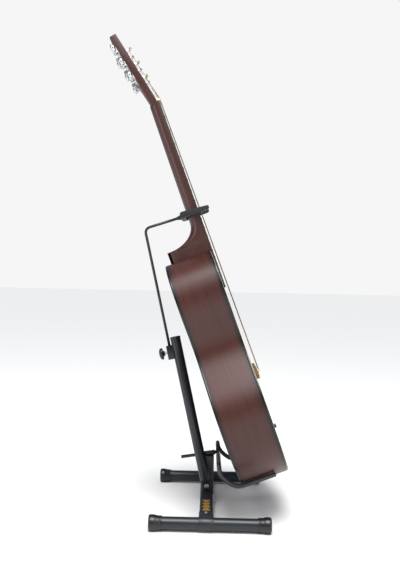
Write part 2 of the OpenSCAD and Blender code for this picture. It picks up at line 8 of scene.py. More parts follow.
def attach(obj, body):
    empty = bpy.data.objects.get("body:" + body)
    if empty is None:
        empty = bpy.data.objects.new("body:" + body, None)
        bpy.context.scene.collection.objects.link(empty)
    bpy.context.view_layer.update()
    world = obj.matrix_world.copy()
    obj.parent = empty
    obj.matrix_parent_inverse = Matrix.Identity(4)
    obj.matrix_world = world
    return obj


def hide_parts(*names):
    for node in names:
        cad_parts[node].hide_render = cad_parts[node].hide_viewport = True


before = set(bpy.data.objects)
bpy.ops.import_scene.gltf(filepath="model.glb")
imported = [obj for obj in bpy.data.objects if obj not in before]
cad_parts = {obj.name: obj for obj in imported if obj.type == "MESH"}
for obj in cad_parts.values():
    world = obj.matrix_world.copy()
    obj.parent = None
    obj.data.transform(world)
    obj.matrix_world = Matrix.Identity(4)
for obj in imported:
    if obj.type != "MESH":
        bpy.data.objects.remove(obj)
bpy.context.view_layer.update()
print("frame loaded")

mm = 0.001


# working helpers
def pickNone():
    if bpy.context.mode != "OBJECT":
        bpy.ops.object.mode_set(mode="OBJECT")
    bpy.ops.object.select_all(action="DESELECT")


def pickOnly(*objs):
    pickNone()
    for obj in objs:
        obj.select_set(True)
    bpy.context.view_layer.objects.active = objs[-1]


def editAll(obj):
    pickOnly(obj)
    bpy.ops.object.mode_set(mode="EDIT")
    bpy.ops.mesh.select_all(action="SELECT")


def closeEdit():
    bpy.ops.mesh.select_all(action="SELECT")
    bpy.ops.mesh.normals_make_consistent(inside=False)
    bpy.ops.object.mode_set(mode="OBJECT")


def useModifier(obj, kind, **settings):
    pickOnly(obj)
    made = obj.modifiers.new(kind.title(), kind)
    for key, value in settings.items():
        setattr(made, key, value)
    bpy.ops.object.modifier_apply(modifier=made.name)


def roundEdges(obj, width, segments=2, angle=35):
    useModifier(obj, "BEVEL", width=width, segments=segments, limit_method="ANGLE",
                angle_limit=math.radians(angle), use_clamp_overlap=True)


def applyPlace(obj):
    pickOnly(obj)
    bpy.ops.object.transform_apply(location=True, rotation=True, scale=True)


def joinAll(*objs):
    pickOnly(*reversed(objs))
    bpy.ops.object.join()
    return objs[0]


# a piece is modelled in millimetres in its own frame, then put in place and applied
def finishPiece(obj, name, place, body, material, stands=(), smooth=32):
    pickOnly(obj)
    obj.matrix_world = place @ Matrix.Scale(mm, 4) @ obj.matrix_world
    bpy.ops.object.transform_apply(location=True, rotation=True, scale=True)
    bpy.ops.object.shade_smooth_by_angle(angle=math.radians(smooth))
    obj.name = name
    obj.data.name = name
    obj.data.materials.clear()
    obj.data.materials.append(material)
    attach(obj, body)
    if stands:
        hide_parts(*stands)
    return obj


# a CAD node's own shape, merged, with its edges eased
def easedCopy(node, body, material, width=0.0, segments=2, smooth=35):
    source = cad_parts[node]
    obj = bpy.data.objects.new("eased_" + node, source.data.copy())
    obj.matrix_world = source.matrix_world.copy()
    bpy.context.collection.objects.link(obj)
    editAll(obj)
    bpy.ops.mesh.remove_doubles(threshold=0.00001)
    if width:
        bpy.ops.mesh.dissolve_limited(angle_limit=math.radians(0.6))
    bpy.ops.object.mode_set(mode="OBJECT")
    if width:
        roundEdges(obj, width * mm, segments)
    obj.matrix_world = Matrix.Scale(1 / mm, 4) @ obj.matrix_world
    return finishPiece(obj, node + "Part", Matrix.Identity(4), body, material, (node,), smooth)


def keepNode(node, material):
    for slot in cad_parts[node].material_slots:
        slot.material = material


# a turned shape from (radius, height) points, about its own upright axis
def turnShape(profile, steps=48):
    data = bpy.data.meshes.new("turned")
    data.from_pydata([(r, 0, z) for r, z in profile],
                     [(k, k + 1) for k in range(len(profile) - 1)], [])
    obj = bpy.data.objects.new("turned", data)
    bpy.context.collection.objects.link(obj)
    editAll(obj)
    bpy.ops.mesh.spin(steps=steps, angle=2 * math.pi, center=(0, 0, 0), axis=(0, 0, 1))
    bpy.ops.mesh.select_all(action="SELECT")
    bpy.ops.mesh.remove_doubles(threshold=0.0005)
    closeEdit()
    return obj


# rings of points grown one from another by extruding, closed at both ends
def growRings(rings):
    pickNone()
    bpy.ops.mesh.primitive_circle_add(vertices=len(rings[0]), radius=1, fill_type="NOTHING")
    obj = bpy.context.object
    for vert, point in zip(obj.data.vertices, rings[0]):
        vert.co = point
    editAll(obj)
    bpy.ops.mesh.edge_face_add()
    for before, after in zip(rings, rings[1:]):
        bpy.ops.mesh.extrude_region_move()
        work = bmesh.from_edit_mesh(obj.data)
        for vert in (v for v in work.verts if v.select):
            nearest = min(range(len(before)), key=lambda k: (vert.co - Vector(before[k])).length)
            vert.co = after[nearest]
        bmesh.update_edit_mesh(obj.data)
    closeEdit()
    return obj


# a round wire along points
def wire(points, radius, sides=3):
    data = bpy.data.curves.new("wire", "CURVE")
    data.dimensions = "3D"
    data.bevel_depth = radius
    data.bevel_resolution = sides
    data.use_fill_caps = True
    line = data.splines.new("POLY")
    line.points.add(len(points) - 1)
    for spot, point in zip(line.points, points):
        spot.co = (*point, 1)
    obj = bpy.data.objects.new("wire", data)
    bpy.context.collection.objects.link(obj)
    pickOnly(obj)
    bpy.ops.object.convert(target="MESH")
    return bpy.context.object


def frameAt(x, y, z, turn=0.0, axis="Y"):
    return Matrix.Translation((x * mm, y * mm, z * mm)) @ Matrix.Rotation(math.radians(turn), 4, axis)


standX = 27.533  # the post's bolt, forward of the middle
standPost = dict(boltUp=42.6, lean=13.1)
# the guitar's plan: x out of the top, y to the treble side, z up the neck from the tail
guitar = dict(tailForward=175.9, tailUp=88.9, lean=20.8, length=505, lowerBout=195, waist=124,
              upperBout=144, depth=102, neckHalf=28, nutHalf=22, nutUp=853.258, nutThick=5,
              neckDepth=21, headAngle=12.5, headThick=15.5, saddleUp=225.258, holeUp=367.065,
              holeRadius=50, saddleSpacing=10.8, nutSpacing=7)
nutTop = guitar["nutUp"] + guitar["nutThick"]
guitarFrame = frameAt(standX + guitar["tailForward"], 0, guitar["tailUp"], -guitar["lean"])
headFrame = guitarFrame @ frameAt(0, 0, nutTop, -guitar["headAngle"])
postFrame = frameAt(standX, 0, standPost["boltUp"], -standPost["lean"])
alongX = Matrix.Rotation(math.radians(90), 4, "Y")


# materials
def toLinear(tone):
    parts = [int(tone[k:k + 2], 16) / 255 for k in (1, 3, 5)]
    return (*[p / 12.92 if p <= 0.04045 else ((p + 0.055) / 1.055) ** 2.4 for p in parts], 1)


def addNode(tree, kind, sockets=None, **settings):
    made = tree.nodes.new(kind)
    for key, value in settings.items():
        setattr(made, key, value)
    for key, value in (sockets or {}).items():
        if isinstance(value, bpy.types.NodeSocket):
            tree.links.new(value, made.inputs[key])
        else:
            made.inputs[key].default_value = value
    return made


def startFinish(name, slot, tone, roughness, **sockets):
    material = bpy.data.materials.new(name)
    material.use_nodes = True
    tree = material.node_tree
    shader = tree.nodes["Principled BSDF"]
    shader.inputs["Base Color"].default_value = toLinear(tone)
    shader.inputs["Roughness"].default_value = roughness
    for key, value in sockets.items():
        shader.inputs[key.replace("_", " ")].default_value = value
    return material, tree, shader


# the piece's own place, turned into the frame of the guitar
def woodPlace(tree, turn, stretch):
    place = addNode(tree, "ShaderNodeTexCoord").outputs["Object"]
    turned = addNode(tree, "ShaderNodeMapping",
                     {"Vector": place, "Rotation": (0, math.radians(turn), 0)})
    return addNode(tree, "ShaderNodeVectorMath", {0: turned.outputs[0], 1: stretch}, operation="MULTIPLY")


# streaks and slow patches of two tones, with open pores and a roughness that follows them
def woodFinish(name, slot, tones, roughness, turn, streak, patch, pore=0.25, poreDepth=0.05,
               **sockets):
    material, tree, shader = startFinish(name, slot, tones[0], roughness, **sockets)
    fine = addNode(tree, "ShaderNodeTexNoise",
                   {"Vector": woodPlace(tree, turn, streak).outputs[0], "Scale": 1, "Detail": 5,
                    "Roughness": 0.65})
    slow = addNode(tree, "ShaderNodeTexNoise",
                   {"Vector": woodPlace(tree, turn, patch).outputs[0], "Scale": 1, "Detail": 2})
    fineStep = addNode(tree, "ShaderNodeMapRange",
                       {"Value": fine.outputs["Fac"], "From Min": 0.32, "From Max": 0.68})
    slowStep = addNode(tree, "ShaderNodeMapRange",
                       {"Value": slow.outputs["Fac"], "From Min": 0.3, "From Max": 0.7})
    streaks = addNode(tree, "ShaderNodeMix",
                      {0: fineStep.outputs[0], 6: toLinear(tones[0]), 7: toLinear(tones[1])},
                      data_type="RGBA")
    patchShare = addNode(tree, "ShaderNodeMath", {0: slowStep.outputs[0], 1: 0.45}, operation="MULTIPLY")
    patches = addNode(tree, "ShaderNodeMix",
                      {0: patchShare.outputs[0], 6: streaks.outputs[2], 7: toLinear(tones[2])},
                      data_type="RGBA")
    poreStretch = [3.2 * s for s in streak]  # pores are finer than the streaks
    pores = addNode(tree, "ShaderNodeTexNoise",
                    {"Vector": woodPlace(tree, turn, poreStretch).outputs[0], "Scale": 1, "Detail": 2})
    poreStep = addNode(tree, "ShaderNodeMapRange",
                       {"Value": pores.outputs["Fac"], "From Min": 0.62, "From Max": 0.72, "To Max": pore})
    full = addNode(tree, "ShaderNodeMix",
                   {0: poreStep.outputs[0], 6: patches.outputs[2], 7: toLinear(tones[3])},
                   data_type="RGBA")
    tree.links.new(full.outputs[2], shader.inputs["Base Color"])
    gloss = addNode(tree, "ShaderNodeMapRange",
                    {"Value": fine.outputs["Fac"], "To Min": roughness - 0.05, "To Max": roughness + 0.07})
    tree.links.new(gloss.outputs[0], shader.inputs["Roughness"])
    bump = addNode(tree, "ShaderNodeBump",
                   {"Height": poreStep.outputs[0], "Strength": poreDepth, "Distance": 0.001}, invert=True)
    tree.links.new(bump.outputs[0], shader.inputs["Normal"])
    return material


# a moulded, coated or plated skin: slow tone change, fine bumps, and a roughness that wanders
def skinFinish(name, slot, tone, other, roughness, spread=0.06, bumpSize=1.2, bumpDepth=0.08,
               patchSize=60, **sockets):
    material, tree, shader = startFinish(name, slot, tone, roughness, **sockets)
    place = addNode(tree, "ShaderNodeTexCoord").outputs["Object"]
    patch = addNode(tree, "ShaderNodeTexNoise", {"Vector": place, "Scale": 1000 / patchSize, "Detail": 4})
    tint = addNode(tree, "ShaderNodeMix", {0: patch.outputs["Fac"], 6: toLinear(tone), 7: toLinear(other)},
                   data_type="RGBA")
    tree.links.new(tint.outputs[2], shader.inputs["Base Color"])
    skin = addNode(tree, "ShaderNodeTexNoise", {"Vector": place, "Scale": 1000 / bumpSize, "Detail": 3})
    gloss = addNode(tree, "ShaderNodeMapRange",
                    {"Value": patch.outputs["Fac"], "To Min": roughness - spread,
                     "To Max": roughness + spread})
    tree.links.new(gloss.outputs[0], shader.inputs["Roughness"])
    bump = addNode(tree, "ShaderNodeBump",
                   {"Height": skin.outputs["Fac"], "Strength": bumpDepth, "Distance": 0.0006})
    tree.links.new(bump.outputs[0], shader.inputs["Normal"])
    return material


grainTurn = guitar["lean"]  # the grain leans with the guitar
# mahogany, stained and sprayed with satin lacquer: fine streaks run the length of each side,
# drawn at 4 mm so that they show, under a broad soft sheen
sideMahogany = woodFinish("satinMahoganySides", "mahogany", ("#3a170f", "#4c2117", "#2b100b", "#190806"),
                          0.38, grainTurn, (260, 9, 9), (18, 7, 5), pore=0.5,
                          Specular_IOR_Level=0.45, Coat_Weight=0.12, Coat_Roughness=0.35)
# painted shade: the sides' colour is made darker along both edges, next to the bindings
paintedEdgeShade = dict(tone="#150c0b", starts=37, full=47, strength=0.85)  # from the middle, in mm
tree = sideMahogany.node_tree
shader = tree.nodes["Principled BSDF"]
place = addNode(tree, "ShaderNodeTexCoord").outputs["Object"]
leaned = addNode(tree, "ShaderNodeMapping",
                 {"Vector": place, "Rotation": (0, math.radians(grainTurn), 0)})
across = addNode(tree, "ShaderNodeSeparateXYZ", {0: leaned.outputs[0]})
middleSpot = guitarFrame @ Vector((-guitar["depth"] / 2 * mm, 0, 0))
sideMiddle = middleSpot.dot(guitarFrame.to_3x3() @ Vector((1, 0, 0)))
fromMiddle = addNode(tree, "ShaderNodeMath", {0: across.outputs[0], 1: sideMiddle}, operation="SUBTRACT")
toEdge = addNode(tree, "ShaderNodeMath", {0: fromMiddle.outputs[0]}, operation="ABSOLUTE")
# painted shade mask: rises from nothing to full between the two distances from the middle of the sides
paintedShadeStep = addNode(tree, "ShaderNodeMapRange",
                   {"Value": toEdge.outputs[0], "From Min": paintedEdgeShade["starts"] * mm,
                    "From Max": paintedEdgeShade["full"] * mm, "To Max": paintedEdgeShade["strength"]},
                   interpolation_type="SMOOTHSTEP")
grain = shader.inputs["Base Color"].links[0].from_socket
# painted shade: the grain colour is mixed toward a near-black tone near both edges
paintedShadeTone = addNode(tree, "ShaderNodeMix",
                   {0: paintedShadeStep.outputs[0], 6: grain, 7: toLinear(paintedEdgeShade["tone"])},
                   data_type="RGBA")
tree.links.new(paintedShadeTone.outputs[2], shader.inputs["Base Color"])
# the same wood cut for the neck: the grain runs along it, slightly redder and duller from the hand
neckMahogany = woodFinish("satinMahoganyNeck", "mahogany", ("#3f1a14", "#4c231b", "#31130e", "#1d0a07"),
                          0.38, grainTurn, (260, 260, 9), (40, 40, 6), pore=0.5,
                          Specular_IOR_Level=0.5, Coat_Weight=0.15, Coat_Roughness=0.3)
# spruce, quarter sawn and glossed: close straight lines, honey coloured with age
glossSpruce = woodFinish("glossSpruceTop", "spruce_top", ("#d6a56a", "#c08e55", "#e0b780", "#a5743f"),
                         0.22, grainTurn, (5, 330, 3), (4, 30, 4), pore=0.3, poreDepth=0.02,
                         Coat_Weight=0.6, Coat_Roughness=0.08)
# spruce, planed and left bare inside the body: pale and dull
bareSpruce = woodFinish("bareSpruceBraces", "bare_spruce", ("#cdae80", "#bb9868", "#d8bd92", "#94744a"),
                        0.75, grainTurn, (200, 200, 12), (20, 20, 8))
# rosewood, oiled: near black with brown streaks and open pores
oiledRosewood = woodFinish("oiledRosewood", "rosewood", ("#2a1a14", "#3d271c", "#1d120e", "#0d0806"),
                           0.42, grainTurn, (180, 180, 10), (30, 30, 8), pore=0.8, poreDepth=0.3)
# rosewood worn pale where the pins and saddle sit, as on a bridge that catches hands and sun
wornRosewood = woodFinish("wornBridgeRosewood", "rosewood", ("#6b4a2f", "#8a6440", "#52361f", "#2a1a10"),
                          0.45, grainTurn, (180, 20, 180), (30, 12, 30), pore=0.7, poreDepth=0.3)
# celluloid, scraped and polished: deep black with a clear narrow highlight
blackBinding = skinFinish("polishedBlackBinding", "black_binding", "#0c0c0e", "#16161a", 0.2, 0.05, 3, 0.02)
# celluloid, cream, one line beside the black: slightly yellowed
creamLine = skinFinish("creamPurfling", "rosette_inlay", "#e5d7b4", "#d4c294", 0.3, 0.05, 3, 0.02)
# steel, powder coated in a fine satin black: orange peel softens the highlight
powderCoat = skinFinish("satinPowderCoat", "black_powder_coat", "#15181d", "#20242b", 0.36, 0.07, 1.6, 0.16)
# steel rod, powder coated thin and rubbed by the clamp: a little greyer
rodCoat = skinFinish("rubbedRodCoat", "black_powder_coat", "#1c1e22", "#2c2f34", 0.33, 0.08, 1.2, 0.12, 25)
# rubber, moulded: dull black with a soft bloom
mouldedRubber = skinFinish("mouldedRubber", "black_rubber", "#101012", "#1b1c1f", 0.55, 0.09, 1.0, 0.22, 30)
# rubber caps, moulded in a polished tool: a small bright highlight on the shoulder
capRubber = skinFinish("glossCapRubber", "black_rubber", "#0f1113", "#1a1d20", 0.3, 0.07, 2.0, 0.06, 30)
# soft tube, drawn over the cradle rod: dark grey with a sheen along it
sleeveRubber = skinFinish("drawnSleeveRubber", "black_rubber", "#2b2c30", "#37383d", 0.42, 0.06, 1.5, 0.12,
                          30)
# nylon, injection moulded: even black, light sheen, faint spark texture
mouldedNylon = skinFinish("mouldedNylon", "black_nylon", "#0e0f11", "#17181b", 0.28, 0.06, 1.0, 0.06, 30)
# steel, zinc plated and passivated: bright grey with a soft smear
zincSteel = skinFinish("zincPlatedSteel", "zinc_steel", "#b4b7ba", "#9fa3a6", 0.3, 0.08, 0.8, 0.08, 12,
                       Metallic=1.0)
# brass parts, chromed and polished: mirror bright with faint haze
brightChrome = skinFinish("polishedChrome", "chrome_plate", "#dcdcdd", "#c9cacc", 0.13, 0.05, 4, 0.02, 10,
                          Metallic=1.0)
# nickel silver wire, dressed and polished: warm white metal
fretWire = skinFinish("nickelFretWire", "nickel_silver", "#cfcabd", "#b9b3a4", 0.24, 0.07, 2, 0.03, 8,
                      Metallic=1.0)
# bronze, wound over steel: the winding shows as a fine gold rib
woundBronze = skinFinish("woundBronzeString", "bronze_string", "#cdb78c", "#b39a6b", 0.3, 0.06, 0.7, 0.5,
                         15, Metallic=1.0)
# steel, drawn plain for the two top strings: white and bright
plainSteel = skinFinish("plainSteelString", "bronze_string", "#cfd0d0", "#b8b9ba", 0.22, 0.05, 0.7, 0.03,
                        15, Metallic=1.0)
# bone, bleached and polished: warm white with faint flecks
polishedBone = skinFinish("polishedBone", "bone", "#efe7d2", "#ddd2b6", 0.32, 0.07, 0.6, 0.04, 6)
# pearl shell, inlaid flush: white that shifts between cool and warm
shellPearl = skinFinish("shellPearl", "pearl", "#eceae2", "#c9d2d0", 0.2, 0.05, 2, 0.02, 2.5)
# brass powder in lacquer, screened on: a dull gold
goldPrint = skinFinish("screenedGoldPrint", "black_powder_coat", "#d9ab4c", "#c0903a", 0.45, 0.06, 1, 0.05,
                       6, Metallic=0.2)

# inlaid rings round the soundhole, black and cream, told apart by their distance from its centre
rosette = dict(dark="#181412", pale="#dccfa8", ringWidth=3.0, darkShare=0.72)
rosetteLacquer, tree, shader = startFinish("lacqueredRosette", "rosette_inlay", rosette["dark"], 0.2)
place = addNode(tree, "ShaderNodeTexCoord").outputs["Object"]
centre = guitarFrame @ Vector((0, 0, guitar["holeUp"] * mm))
fromCentre = addNode(tree, "ShaderNodeVectorMath", {0: place, 1: centre}, operation="DISTANCE")
ringCount = addNode(tree, "ShaderNodeMath",
                    {0: fromCentre.outputs["Value"], 1: 1000 / rosette["ringWidth"]}, operation="MULTIPLY")
ringPart = addNode(tree, "ShaderNodeMath", {0: ringCount.outputs[0]}, operation="FRACT")
ringPale = addNode(tree, "ShaderNodeMath", {0: ringPart.outputs[0], 1: rosette["darkShare"]},
                   operation="GREATER_THAN")
ringTone = addNode(tree, "ShaderNodeMix",
                   {0: ringPale.outputs[0], 6: toLinear(rosette["dark"]), 7: toLinear(rosette["pale"])},
                   data_type="RGBA")
tree.links.new(ringTone.outputs[2], shader.inputs["Base Color"])
print("materials ready")


# guitar body
# the outline as a closed curve, all of it moved in by inset, at height x above the top
def bodyCurve(inset, x):
    a, b, c = (guitar[k] - inset for k in ("lowerBout", "waist", "upperBout"))
    long, top, j = guitar["length"], guitar["length"] - inset, guitar["neckHalf"]
    right = [((a, 0.125 * long), (a, 0.33 * long), (a, 0.465 * long)),
             ((b, 0.52 * long), (b, 0.63 * long), (b, 0.71 * long)),
             ((c, 0.735 * long), (c, 0.82 * long), (c, 0.93 * long)),
             ((0.66 * c, top), (j, top), (j / 3, top))]
    left = [tuple((-p[0], p[1]) for p in reversed(spot)) for spot in reversed(right)]
    spots = [((-0.49 * a, inset), (0, inset), (0.49 * a, inset))] + right + left
    pickNone()
    bpy.ops.curve.primitive_bezier_circle_add(radius=1)
    loop = bpy.context.object
    loop.data.dimensions = "3D"
    loop.data.resolution_u = 24
    line = loop.data.splines[0]
    line.resolution_u = 24
    line.bezier_points.add(len(spots) - len(line.bezier_points))
    for point, (before, at, after) in zip(line.bezier_points, spots):
        point.handle_left_type = point.handle_right_type = "FREE"
        point.co = (x, *at)
        point.handle_left = (x, *before)
        point.handle_right = (x, *after)
    pickOnly(loop)
    bpy.ops.object.convert(target="MESH")
    return bpy.context.object


def bodyRing(outer, inner, low, high):
    obj = joinAll(bodyCurve(outer, low), bodyCurve(inner, low))
    editAll(obj)
    bpy.ops.mesh.bridge_edge_loops()
    bpy.ops.mesh.select_all(action="SELECT")
    bpy.ops.mesh.extrude_region_move(TRANSFORM_OT_translate={"value": (high - low, 0, 0)})
    closeEdit()
    return obj


def bodyPlate(inset, low, high, hole=0):
    obj = bodyCurve(inset, low)
    editAll(obj)
    if hole:
        bpy.ops.mesh.select_all(action="DESELECT")
        bpy.ops.mesh.primitive_circle_add(vertices=96, radius=hole, location=(low, 0, guitar["holeUp"]),
                                          rotation=(0, math.pi / 2, 0))
        bpy.ops.mesh.select_all(action="SELECT")
        bpy.ops.mesh.fill(use_beauty=True)
    else:
        bpy.ops.mesh.edge_face_add()
    bpy.ops.mesh.select_all(action="SELECT")
    bpy.ops.mesh.extrude_region_move(TRANSFORM_OT_translate={"value": (high - low, 0, 0)})
    closeEdit()
    return obj


shell = dict(sideThick=2.4, plateThick=2.6, bindingTall=4.5, bindingDeep=2.2, topRound=1.1, backRound=1.8,
             creamWide=1.2, creamDeep=1.2, creamProud=0.35)
depth = guitar["depth"]
sidesPart = bodyRing(0, shell["sideThick"], shell["bindingTall"] - depth, -shell["bindingTall"])
finishPiece(sidesPart, "bentSides", guitarFrame, "guitar", sideMahogany, ("sides",))
topBinding = bodyRing(0, shell["bindingDeep"], -shell["bindingTall"], 0)
roundEdges(topBinding, shell["topRound"], 3)
finishPiece(topBinding, "topBinding", guitarFrame, "guitar", blackBinding, ("top_binding",))
backBinding = bodyRing(0, shell["bindingDeep"], -depth, shell["bindingTall"] - depth)
roundEdges(backBinding, shell["backRound"], 3)
finishPiece(backBinding, "backBinding", guitarFrame, "guitar", blackBinding, ("back_binding",))
topLine = bodyRing(shell["bindingDeep"] - shell["creamWide"], shell["bindingDeep"] + shell["creamWide"],
                   -shell["creamDeep"], shell["creamProud"])
finishPiece(topLine, "topPurfling", guitarFrame, "guitar", creamLine)
topPlate = bodyPlate(shell["bindingDeep"], -shell["plateThick"], 0, guitar["holeRadius"])
finishPiece(topPlate, "soundboardPlate", guitarFrame, "guitar", glossSpruce, ("soundboard",))
backPlate = bodyPlate(shell["bindingDeep"], -depth, shell["plateThick"] - depth)
finishPiece(backPlate, "backPlate", guitarFrame, "guitar", neckMahogany, ("back",))
for node in ("linings", "top_braces", "back_braces"):
    keepNode(node, bareSpruce)
for node in ("neck_block", "tail_block"):
    keepNode(node, neckMahogany)
keepNode("rosette", rosetteLacquer)
keepNode("truss_rod", zincSteel)
print("body ready")


# neck, heel and head
neckPlan = dict(heelDepth=88, heelEnds=532, heelStep=9, heelRise=46, heelTip=15, ringHalf=16, thinning=0.012,
                thinningFrom=600)


def neckRing(up, half, deep):
    heel = max(0.0, (deep - guitar["neckDepth"]) / (neckPlan["heelDepth"] - guitar["neckDepth"]))
    power = 2.4 + 26 * heel ** 2
    narrow = (1 - neckPlan["heelTip"] / half) * heel
    count = neckPlan["ringHalf"]
    curve = []
    for k in range(count + 1):
        share = math.sin(math.pi / 2 * k / count)
        curve.append((half * (1 - narrow * share) * math.sqrt(max(0, 1 - share ** power)), -deep * share))
    ring = [(x, y, up) for y, x in curve] + [(x, -y, up) for y, x in reversed(curve[:-1])]
    return ring + [(0, half * (1 - 2 * k / 7) * -1, up) for k in range(1, 7)]


def halfWidth(up):
    share = (guitar["nutUp"] - up) / (guitar["nutUp"] - guitar["length"])
    return guitar["nutHalf"] + (guitar["neckHalf"] - guitar["nutHalf"]) * share


# rings up the straight of the heel
heelUp = [neckPlan["heelEnds"] - neckPlan["heelStep"] * step for step in (3, 2, 1, 0)]
rings = [neckRing(up, halfWidth(up), neckPlan["heelDepth"]) for up in heelUp]
for angle in range(6, 91, 6):
    turn = math.radians(angle)
    up = neckPlan["heelEnds"] + neckPlan["heelRise"] * (1 - math.cos(turn))
    drop = neckPlan["heelDepth"] - guitar["neckDepth"]
    rings.append(neckRing(up, halfWidth(up), neckPlan["heelDepth"] - drop * math.sin(turn)))
for up in (600, 640, 690, 740, 790, 830, 850):
    thinned = neckPlan["thinning"] * (up - neckPlan["thinningFrom"])
    rings.append(neckRing(up, halfWidth(up), guitar["neckDepth"] - thinned))
# the neck runs on into the head, in the head's own frame
toGuitar = guitarFrame.inverted() @ headFrame
for up, deep in ((-1, 17.2), (8, 16.4), (16, 15), (24, 12)):
    flat = [Vector(p) for p in neckRing(up, guitar["nutHalf"] - 0.02 * up, deep)]
    rings.append([tuple(1000 * (toGuitar @ (0.001 * p))) for p in flat])
neckPart = growRings(rings)

# the head's outline: across, and up from the nut
headPlan = [(-21.4, -7), (21.4, -7), (22, 6), (33, 33), (37, 160), (35, 164), (16, 166), (0, 163),
            (-16, 166), (-35, 164), (-37, 160), (-33, 33), (-22, 6)]
pickNone()
bpy.ops.mesh.primitive_circle_add(vertices=len(headPlan), radius=1, fill_type="NGON")
headPart = bpy.context.object
for vert, (y, up) in zip(headPart.data.vertices, headPlan):
    vert.co = (0, y, up)
editAll(headPart)
bpy.ops.mesh.extrude_region_move(TRANSFORM_OT_translate={"value": (-guitar["headThick"], 0, 0)})
closeEdit()
roundEdges(headPart, 1.6, 3)
headPart.matrix_world = Matrix.Scale(1000, 4) @ toGuitar @ Matrix.Scale(mm, 4)
applyPlace(headPart)
neckWhole = joinAll(neckPart, headPart)
finishPiece(neckWhole, "neckAndHead", guitarFrame, "guitar", neckMahogany, ("neck",), 40)
easedCopy("heel_cap", "guitar", blackBinding, 0.7)
easedCopy("truss_cover", "guitar", blackBinding, 0.4)
easedCopy("nut", "guitar", polishedBone, 0.5)
easedCopy("fretboard", "guitar", oiledRosewood, 0.5)
easedCopy("frets", "guitar", fretWire, 0.42, 2, 60)
keepNode("fret_dots", shellPearl)
print("neck ready")

# bridge, pins, pickguard, knob, end pin
easedCopy("bridge", "guitar", wornRosewood, 1.8, 3)
easedCopy("bridge_saddle", "guitar", polishedBone, 0.8)
easedCopy("pickguard", "guitar", blackBinding, 0.35)
bridgePin = dict(belowSaddle=10)
pinShape = [(0, -8), (1.9, -8), (2.5, 4), (2.5, 9), (3.3, 9), (3.8, 9.6), (3.6, 10.6), (2.6, 11.3), (0, 11.5)]
pins = []
for k in range(6):
    pin = turnShape(pinShape, 24)
    pinSpot = (0, (k - 2.5) * guitar["saddleSpacing"], guitar["saddleUp"] - bridgePin["belowSaddle"])
    pin.matrix_world = Matrix.Translation(pinSpot) @ alongX
    applyPlace(pin)
    pins.append(pin)
finishPiece(joinAll(*pins), "bridgePins", guitarFrame, "guitar", polishedBone, ("bridge_pins",))
knob = dict(toTreble=95, up=72)
knobShape = [(0, -14), (3, -14), (3, 0.6), (4.6, 0.6), (5, 1), (5, 2.8), (4.7, 3), (4.7, 3.6), (5, 3.8),
             (5, 5.8),
             (4.7, 6), (4.7, 6.6), (5, 6.8), (5, 9.8), (4.5, 10.8), (3.6, 11), (3.2, 10.7), (0, 10.6)]
volumeKnob = turnShape(knobShape)
volumeKnob.matrix_world = Matrix.Translation((0, knob["toTreble"], knob["up"])) @ alongX
finishPiece(volumeKnob, "volumeKnob", guitarFrame, "volume", mouldedNylon, ("volume_knob",))
endShape = [(0, 24), (3.3, 24), (3.5, 0), (5.8, 0), (6.5, -0.7), (6.4, -2.2), (4.6, -3.4), (3.6, -4.8),
            (3.5, -6.4),
            (4.3, -7.6), (6.2, -8.6), (6.5, -9.8), (5.4, -10.8), (0, -11)]
endPin = turnShape(endShape)
endPin.matrix_world = Matrix.Translation((-depth / 2, 0, 0))
finishPiece(endPin, "endPin", guitarFrame, "guitar", mouldedNylon, ("end_pin",))
print("bridge ready")

